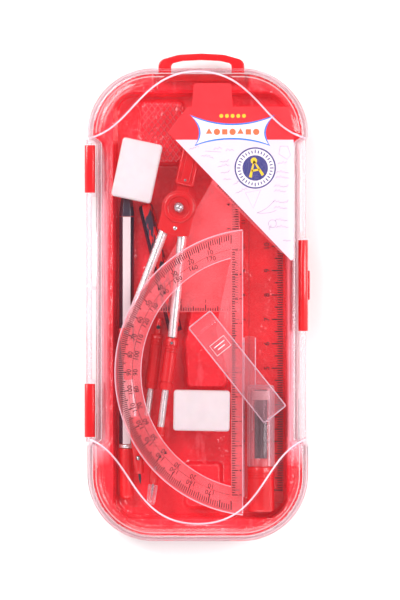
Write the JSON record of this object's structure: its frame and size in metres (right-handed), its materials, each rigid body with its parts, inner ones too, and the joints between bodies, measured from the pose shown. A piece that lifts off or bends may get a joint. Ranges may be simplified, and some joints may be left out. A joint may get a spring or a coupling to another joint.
{
  "type": "drafting compass set",
  "caption": "Flat clear hinged case with a red tray that holds a bow compass, protractor, ruler, set squares, erasers, pencils and leads.",
  "frame": {"origin": "centre of the case's flat back face", "axes": "+X to the right across the lid, +Y towards the handle, +Z out through the lid"},
  "size_m": [0.0921, 0.1993, 0.024],
  "materials": {
    "clear_styrene": "clear polystyrene, glossy",
    "red_moulding": "opaque bright red moulding, glossy",
    "red_tray": "translucent red vacuum-formed sheet, glossy",
    "tinted_styrene": "pink-tinted clear polystyrene",
    "printed_card": "coated card, red above and white below",
    "white_vinyl": "soft white vinyl, matt",
    "chrome": "bright plated",
    "steel": "bright zinc-plated",
    "graphite": "dark graphite",
    "dark_lacquer": "glossy dark lacquer",
    "paper_band": "cream paper",
    "wood": "bare cedar"
  },
  "bodies": {
    "case": {"case_base": "clear_styrene", "inner_tray": "red_tray", "card_insert": "printed_card", "ruler": "clear_styrene", "set_square_60": "tinted_styrene", "set_square_45": "tinted_styrene", "protractor": "tinted_styrene", "eraser_upper": "white_vinyl", "eraser_lower": "white_vinyl", "lead_case_body": "clear_styrene", "lead_tube_stopper": "red_moulding", "pencil_cap": "red_moulding", "spare_pencil": "dark_lacquer", "extension_socket": "red_moulding", "extension_rod": "chrome", "compass_front_cover": "red_moulding", "compass_back_cover": "red_moulding", "compass_grip": "red_moulding", "pivot_nut": "steel"},
    "handle": {"handle": "red_moulding"},
    "hinge_clips": {"upper_hinge_clip": "red_moulding", "lower_hinge_clip": "red_moulding"},
    "lid": {"case_lid": "clear_styrene"},
    "latch": {"latch": "red_moulding"},
    "pivot_screw": {"pivot_screw": "steel"},
    "left_leg": {"left_leg_bracket": "steel", "left_leg_tube": "chrome", "left_knee_tongue": "steel"},
    "right_leg": {"right_leg_bracket": "steel", "right_leg_tube": "chrome", "right_knee_tongue": "steel"},
    "left_lower_leg": {"left_knee_sleeve": "red_moulding", "left_knee_pin": "steel", "left_lower_rod": "chrome", "left_tip_holder": "red_moulding", "left_tip_screw": "steel", "compass_lead": "graphite"},
    "right_lower_leg": {"right_knee_sleeve": "red_moulding", "right_knee_pin": "steel", "right_lower_rod": "chrome", "right_tip_holder": "red_moulding", "right_tip_screw": "steel", "needle": "steel"},
    "needle_cap": {"needle_cap": "clear_styrene"},
    "pencil": {"pencil_barrel": "dark_lacquer", "pencil_dipped_end": "dark_lacquer", "pencil_ferrule": "chrome", "pencil_point": "wood"},
    "lead_tube": {"lead_tube": "clear_styrene", "lead_bundle": "graphite", "lead_band": "paper_band"},
    "lead_case_cap": {"lead_case_cap": "clear_styrene"}
  },
  "joints": [
    {"name": "lid_hinge", "type": "hinge", "parent": "case", "child": "hinge_clips", "pos_m": [-0.0444, 0, 0.0085], "axis": [0, -1, 0], "range_deg": [0, 90]},
    {"name": "clip_hinge", "type": "hinge", "parent": "hinge_clips", "child": "lid", "pos_m": [-0.0444, 0, 0.0149], "axis": [0, -1, 0], "range_deg": [0, 90]},
    {"name": "latch_pivot", "type": "hinge", "parent": "lid", "child": "latch", "pos_m": [0.043, 0, 0.0149], "axis": [0, -1, 0], "range_deg": [0, 100]},
    {"name": "handle_slide", "type": "slide", "parent": "case", "child": "handle", "axis": [0, -1, 0], "range_m": [0, 0.0015]},
    {"name": "pivot_screw_turn", "type": "hinge", "parent": "case", "child": "pivot_screw", "pos_m": [-0.0077, 0.0397, 0.0118], "axis": [0, 0, 1], "continuous": true},
    {"name": "left_leg_swing", "type": "hinge", "parent": "case", "child": "left_leg", "pos_m": [-0.0077, 0.0397, 0.0118], "axis": [0, 0, -1], "range_deg": [0, 2]},
    {"name": "right_leg_swing", "type": "hinge", "parent": "case", "child": "right_leg", "pos_m": [-0.0077, 0.0397, 0.0118], "axis": [0, 0, 1], "range_deg": [0, 0.7]},
    {"name": "left_knee_bend", "type": "hinge", "parent": "left_leg", "child": "left_lower_leg", "pos_m": [-0.02935, -0.01135, 0.0118], "axis": [0, 0, -1], "range_deg": [0, 3]},
    {"name": "right_knee_bend", "type": "hinge", "parent": "right_leg", "child": "right_lower_leg", "pos_m": [-0.01062, -0.01568, 0.0118], "axis": [0, 0, 1], "range_deg": [0, 0.8]},
    {"name": "needle_cap_slide", "type": "slide", "parent": "right_lower_leg", "child": "needle_cap", "axis": [-0.1305, -0.9914, 0], "range_m": [0, 0.0035]},
    {"name": "pencil_slide", "type": "slide", "parent": "case", "child": "pencil", "axis": [0, 1, 0], "range_m": [0, 0.016]},
    {"name": "lead_tube_slide", "type": "slide", "parent": "case", "child": "lead_tube", "axis": [0, 1, 0], "range_m": [0, 0.018]},
    {"name": "lead_case_cap_slide", "type": "slide", "parent": "case", "child": "lead_case_cap", "axis": [-0.6225, 0.7826, 0], "range_m": [0, 0.006]}
  ],
  "couplings": [
    {"joint": "clip_hinge", "follows": "lid_hinge", "ratio": 1}
  ]
}
